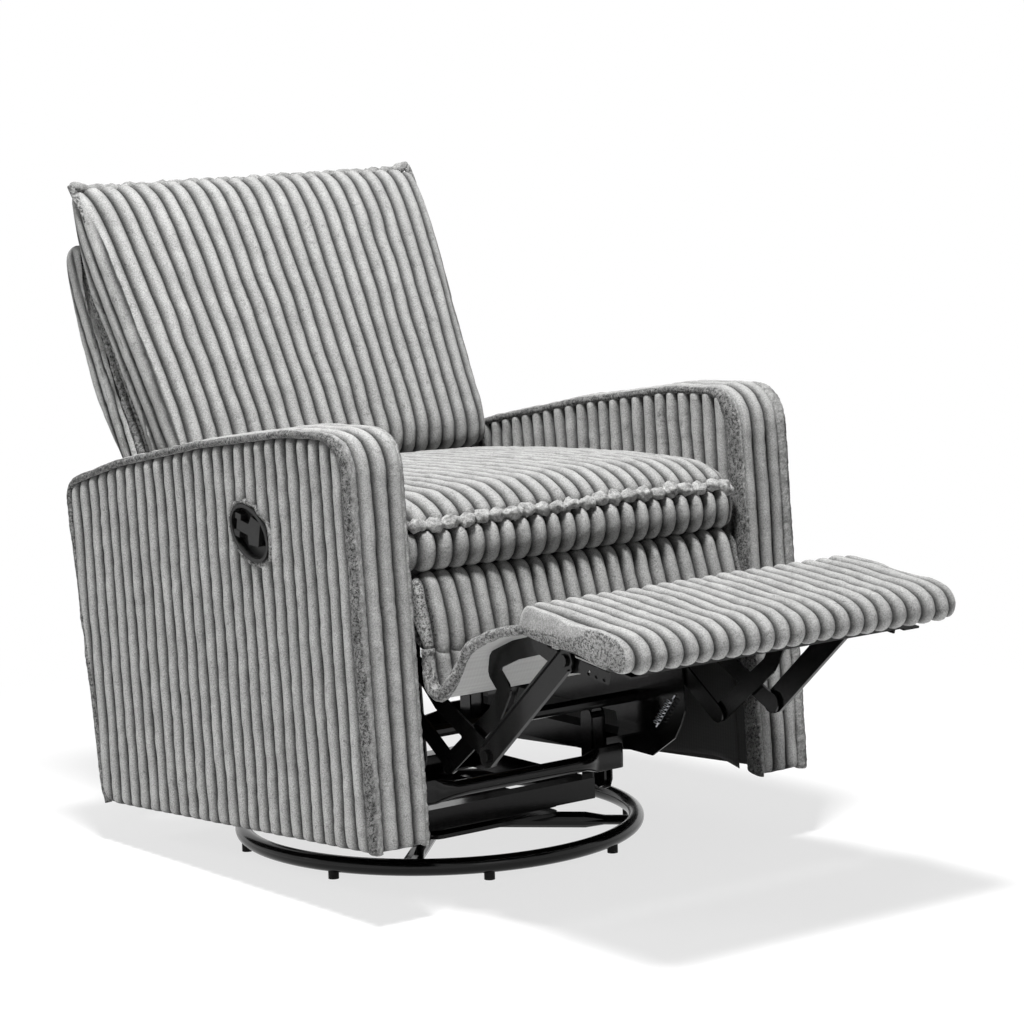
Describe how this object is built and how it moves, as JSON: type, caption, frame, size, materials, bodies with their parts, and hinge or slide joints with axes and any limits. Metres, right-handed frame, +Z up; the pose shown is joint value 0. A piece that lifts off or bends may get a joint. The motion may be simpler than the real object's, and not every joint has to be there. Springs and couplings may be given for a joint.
{
  "type": "swivel glider recliner",
  "caption": "Upholstered recliner on a round swivel glider base, with a scissor-link footrest, a reclining back and a release paddle in one arm.",
  "frame": {"origin": "bottom centre of the chair's box, on the floor, in the pictured pose with the footrest out", "axes": "+Z up, the sitter faces -Y, +X to the sitter's left; the release paddle is on the -X arm"},
  "size_m": [0.804, 1.3776, 0.9995],
  "materials": {
    "corduroy": "wide-wale plush, matte",
    "black_cloth": "thin lining cloth, matte",
    "black_metal": "black gloss paint",
    "spring_steel": "bright zinc",
    "black_plastic": "satin moulded plastic",
    "rubber": "matte",
    "plywood": "raw plywood"
  },
  "bodies": {
    "floor_base": {"base_ring": "black_metal", "base_cross": "black_metal", "foot_pad_1": "rubber", "foot_pad_2": "rubber", "foot_pad_3": "rubber", "foot_pad_4": "rubber", "foot_pad_5": "rubber", "foot_pad_6": "rubber", "foot_pad_7": "rubber", "foot_pad_8": "rubber", "swivel_lower_plate": "black_metal"},
    "swivel_base": {"swivel_upper_plate": "black_metal", "swivel_frame": "black_metal"},
    "front_swing_links": {"swing_link_front_r": "black_metal", "swing_link_front_l": "black_metal"},
    "rear_swing_links": {"swing_link_rear_r": "black_metal", "swing_link_rear_l": "black_metal"},
    "seat_body": {"carriage_rail_r": "black_metal", "carriage_rail_l": "black_metal", "front_cross_tube": "black_metal", "rear_cross_tube": "black_metal", "drive_tube": "black_metal", "mechanism_plate_r": "black_metal", "mechanism_plate_l": "black_metal", "tension_spring_r": "spring_steel", "tension_spring_l": "spring_steel", "seat_frame": "plywood", "seat_cushion": "corduroy", "seat_apron": "corduroy", "footrest_flap": "corduroy", "arm_frame_r": "plywood", "arm_frame_l": "plywood", "arm_outer_panel_r": "corduroy", "arm_outer_panel_l": "corduroy", "arm_band_r": "corduroy", "arm_band_l": "corduroy", "arm_inner_panel_r": "corduroy", "arm_inner_panel_l": "corduroy", "arm_lining_r": "black_cloth", "arm_lining_l": "black_cloth", "handle_bezel": "black_plastic"},
    "knee_rear_links": {"link_knee_rear_r": "black_metal", "link_knee_rear_l": "black_metal"},
    "lower_links": {"link_lower_r": "black_metal", "link_lower_l": "black_metal"},
    "footrest": {"footrest_board": "plywood", "footrest_pad": "corduroy", "footrest_bracket_r": "black_metal", "footrest_bracket_l": "black_metal"},
    "knee_front_links": {"link_knee_front_r": "black_metal", "link_knee_front_l": "black_metal"},
    "curved_links": {"link_curved_r": "black_metal", "link_curved_l": "black_metal"},
    "back": {"back_frame": "plywood", "back_cover": "corduroy", "back_cushion": "corduroy"},
    "release_handle": {"release_paddle": "black_plastic"}
  },
  "joints": [
    {"name": "swivel", "type": "hinge", "parent": "floor_base", "child": "swivel_base", "pos_m": [0, 0.1433, 0.049], "axis": [0, 0, 1], "continuous": true},
    {"name": "glide", "type": "slide", "parent": "swivel_base", "child": "seat_body", "axis": [0, 1, 0], "range_m": [-0.025, 0.025], "stiffness_N_per_m": 3400},
    {"name": "swing_front", "type": "hinge", "parent": "swivel_base", "child": "front_swing_links", "pos_m": [0, -0.0107, 0.181], "axis": [1, 0, 0], "range_deg": [-15, 15]},
    {"name": "swing_rear", "type": "hinge", "parent": "swivel_base", "child": "rear_swing_links", "pos_m": [0, 0.2973, 0.181], "axis": [1, 0, 0], "range_deg": [-15, 15]},
    {"name": "footrest", "type": "hinge", "parent": "seat_body", "child": "footrest", "pos_m": [0, -0.29416, 0.51847], "axis": [1, 0, 0], "range_deg": [0, 86.8], "deforming": ["footrest_flap"]},
    {"name": "knee_rear", "type": "hinge", "parent": "seat_body", "child": "knee_rear_links", "pos_m": [0, -0.12372, 0.38131], "axis": [1, 0, 0], "range_deg": [-1, 90.5]},
    {"name": "lower_link", "type": "hinge", "parent": "seat_body", "child": "lower_links", "pos_m": [0, -0.06771, 0.31747], "axis": [1, 0, 0], "range_deg": [-1, 90]},
    {"name": "knee_front", "type": "hinge", "parent": "footrest", "child": "knee_front_links", "pos_m": [0, -0.51273, 0.39298], "axis": [1, 0, 0], "range_deg": [-78.5, 1]},
    {"name": "curved_link", "type": "hinge", "parent": "footrest", "child": "curved_links", "pos_m": [0, -0.45567, 0.40703], "axis": [1, 0, 0], "range_deg": [-87, 1]},
    {"name": "recline", "type": "hinge", "parent": "seat_body", "child": "back", "pos_m": [0, 0.37356, 0.4067], "axis": [-1, 0, 0], "range_deg": [0, 28]},
    {"name": "release", "type": "hinge", "parent": "seat_body", "child": "release_handle", "pos_m": [-0.396, 0.05576, 0.53237], "axis": [0, 0.1822, -0.9833], "range_deg": [0, 30], "stiffness_Nm_per_rad": 0.6}
  ],
  "couplings": [
    {"joint": "swing_front", "follows": "glide", "rad_per_m": 10},
    {"joint": "swing_rear", "follows": "glide", "rad_per_m": 10},
    {"joint": "knee_rear", "follows": "footrest", "ratio": 1.0311},
    {"joint": "lower_link", "follows": "footrest", "ratio": 1.0201},
    {"joint": "knee_front", "follows": "footrest", "ratio": -0.88936},
    {"joint": "curved_link", "follows": "footrest", "ratio": -0.98437}
  ]
}
